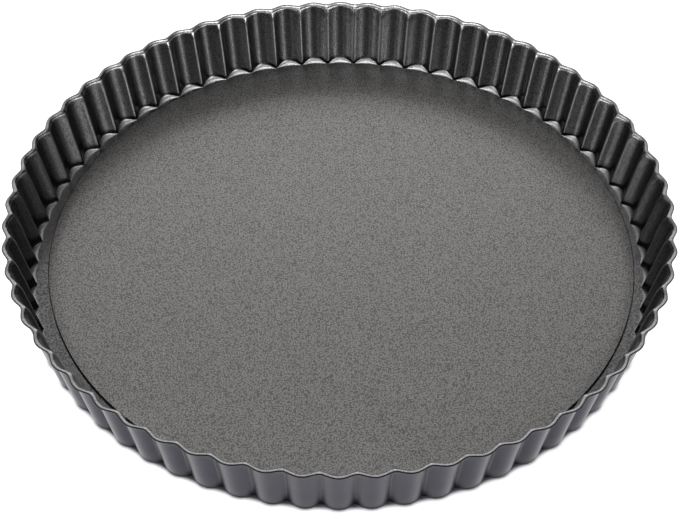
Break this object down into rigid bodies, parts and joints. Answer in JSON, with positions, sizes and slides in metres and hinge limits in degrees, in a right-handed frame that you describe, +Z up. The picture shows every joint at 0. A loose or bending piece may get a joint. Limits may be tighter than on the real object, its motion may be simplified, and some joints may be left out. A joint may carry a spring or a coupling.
{
  "type": "tart pan",
  "caption": "Round fluted tart pan in dark coated steel, with a flaring wall, a small out-turned lip and a loose flat base resting on an inner ledge.",
  "frame": {"origin": "middle of the ring's flat underside, on the plane that the pan stands on", "axes": "+Z points up out of the pan; +X and +Y both pass through the crest of a flute"},
  "size_m": [0.28, 0.28, 0.0304],
  "materials": {
    "ring_coating": "satin charcoal non-stick coating with a fine grain",
    "base_coating": "fine-grained satin grey non-stick coating"
  },
  "bodies": {
    "ring": {"fluted_ring": "ring_coating"},
    "base": {"loose_base": "base_coating"}
  },
  "joints": [
    {"name": "base_lift", "type": "slide", "parent": "ring", "child": "base", "axis": [0, 0, 1], "range_m": [0, 0.06]}
  ]
}
